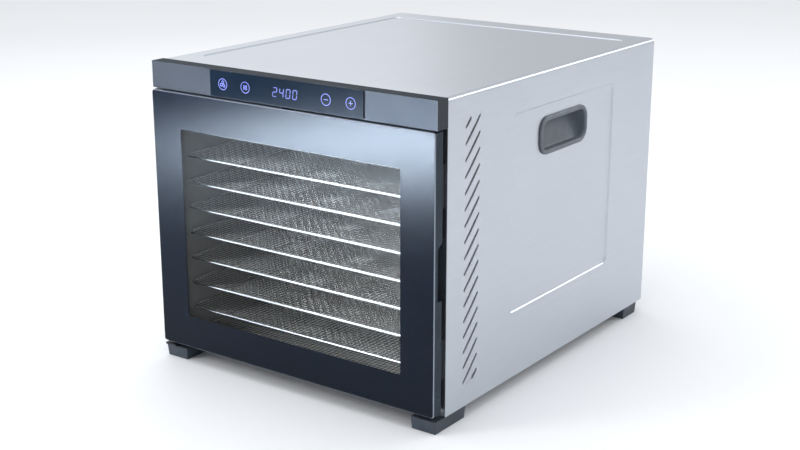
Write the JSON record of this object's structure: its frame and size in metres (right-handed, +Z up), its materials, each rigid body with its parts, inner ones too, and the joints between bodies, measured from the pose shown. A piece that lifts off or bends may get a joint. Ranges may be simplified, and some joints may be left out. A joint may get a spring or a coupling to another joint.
{
  "type": "food dehydrator",
  "caption": "Box-shaped steel countertop food dehydrator with a left-hinged glass door, stacked sliding mesh trays, touch control strip, rear heater and fan.",
  "frame": {"origin": "middle of the footprint, on the surface that the feet stand on", "axes": "+Z up, -Y towards the door, +X to the right as seen from the front"},
  "size_m": [0.347, 0.45, 0.315],
  "materials": {
    "cabinet_steel": "fine brushed stainless sheet",
    "zinc_steel": "zinc-plated sheet and bar",
    "chamber_steel": "rolled stainless sheet",
    "tray_steel": "bright electropolished wire",
    "black_plastic": "fine textured moulding",
    "pocket_plastic": "satin moulding",
    "bezel_plastic": "metallic grey paint under clear coat",
    "touch_glass": "polished dark panel",
    "circuit_board": "solder resist",
    "display_plastic": "tinted display body",
    "seal_rubber": "soft extruded seal",
    "heater_alloy": "oxidised heater sheath",
    "fan_aluminium": "stamped sheet",
    "motor_iron": "varnished laminations",
    "motor_copper": "enamelled copper winding",
    "bearing_bronze": "sintered bronze",
    "hinge_nylon": "natural nylon",
    "door_glass": "clear tempered pane with a printed border"
  },
  "bodies": {
    "cabinet": {"outer_cover": "cabinet_steel", "front_frame": "cabinet_steel", "base_plate": "zinc_steel", "rear_panel": "cabinet_steel", "rear_fan_cover": "black_plastic", "power_inlet": "black_plastic", "foot_front_left": "black_plastic", "foot_front_right": "black_plastic", "foot_rear_left": "black_plastic", "foot_rear_right": "black_plastic", "rear_screw_1": "zinc_steel", "rear_screw_2": "zinc_steel", "rear_screw_3": "zinc_steel", "rear_screw_4": "zinc_steel", "carry_pocket_left": "pocket_plastic", "carry_pocket_right": "pocket_plastic", "control_bezel": "bezel_plastic", "touch_panel": "touch_glass", "control_board": "circuit_board", "display_module": "display_plastic", "power_board": "circuit_board", "chamber_wall_left": "chamber_steel", "chamber_wall_right": "chamber_steel", "chamber_floor": "chamber_steel", "chamber_ceiling": "chamber_steel", "rear_baffle": "chamber_steel", "duct_back_plate": "zinc_steel", "door_seal": "seal_rubber", "heating_element": "heater_alloy", "temperature_sensor": "zinc_steel", "thermal_cutout": "black_plastic", "motor_stator": "motor_iron", "motor_coil": "motor_copper", "motor_bracket_front": "zinc_steel", "motor_bracket_rear": "zinc_steel", "motor_bearing_front": "bearing_bronze", "motor_bearing_rear": "bearing_bronze", "hinge_bracket": "zinc_steel", "hinge_bush_upper": "hinge_nylon", "hinge_bush_lower": "hinge_nylon", "catch_plate_upper": "zinc_steel", "catch_plate_lower": "zinc_steel"},
    "fan": {"fan_wheel": "fan_aluminium", "motor_shaft": "zinc_steel", "motor_rotor": "motor_iron"},
    "door": {"door_frame": "black_plastic", "door_glass": "door_glass", "hinge_pin_upper": "zinc_steel", "hinge_pin_lower": "zinc_steel", "door_magnet_upper": "motor_iron", "door_magnet_lower": "motor_iron"},
    "tray_1_body": {"tray_1": "tray_steel"},
    "tray_2_body": {"tray_2": "tray_steel"},
    "tray_3_body": {"tray_3": "tray_steel"},
    "tray_4_body": {"tray_4": "tray_steel"},
    "tray_5_body": {"tray_5": "tray_steel"},
    "tray_6_body": {"tray_6": "tray_steel"},
    "tray_7_body": {"tray_7": "tray_steel"},
    "tray_8_body": {"tray_8": "tray_steel"},
    "tray_9_body": {"tray_9": "tray_steel"}
  },
  "joints": [
    {"name": "door_hinge", "type": "hinge", "parent": "cabinet", "child": "door", "pos_m": [-0.1655, -0.2175, 0.1523], "axis": [0, 0, -1], "range_deg": [0, 115]},
    {"name": "fan_spin", "type": "hinge", "parent": "cabinet", "child": "fan", "pos_m": [0, 0.127, 0.1455], "axis": [0, 1, 0], "continuous": true},
    {"name": "tray_1_slide", "type": "slide", "parent": "cabinet", "child": "tray_1_body", "axis": [0, -1, 0], "range_m": [0, 0.01]},
    {"name": "tray_2_slide", "type": "slide", "parent": "cabinet", "child": "tray_2_body", "axis": [0, -1, 0], "range_m": [0, 0.01]},
    {"name": "tray_3_slide", "type": "slide", "parent": "cabinet", "child": "tray_3_body", "axis": [0, -1, 0], "range_m": [0, 0.01]},
    {"name": "tray_4_slide", "type": "slide", "parent": "cabinet", "child": "tray_4_body", "axis": [0, -1, 0], "range_m": [0, 0.01]},
    {"name": "tray_5_slide", "type": "slide", "parent": "cabinet", "child": "tray_5_body", "axis": [0, -1, 0], "range_m": [0, 0.01]},
    {"name": "tray_6_slide", "type": "slide", "parent": "cabinet", "child": "tray_6_body", "axis": [0, -1, 0], "range_m": [0, 0.01]},
    {"name": "tray_7_slide", "type": "slide", "parent": "cabinet", "child": "tray_7_body", "axis": [0, -1, 0], "range_m": [0, 0.01]},
    {"name": "tray_8_slide", "type": "slide", "parent": "cabinet", "child": "tray_8_body", "axis": [0, -1, 0], "range_m": [0, 0.01]},
    {"name": "tray_9_slide", "type": "slide", "parent": "cabinet", "child": "tray_9_body", "axis": [0, -1, 0], "range_m": [0, 0.01]}
  ]
}
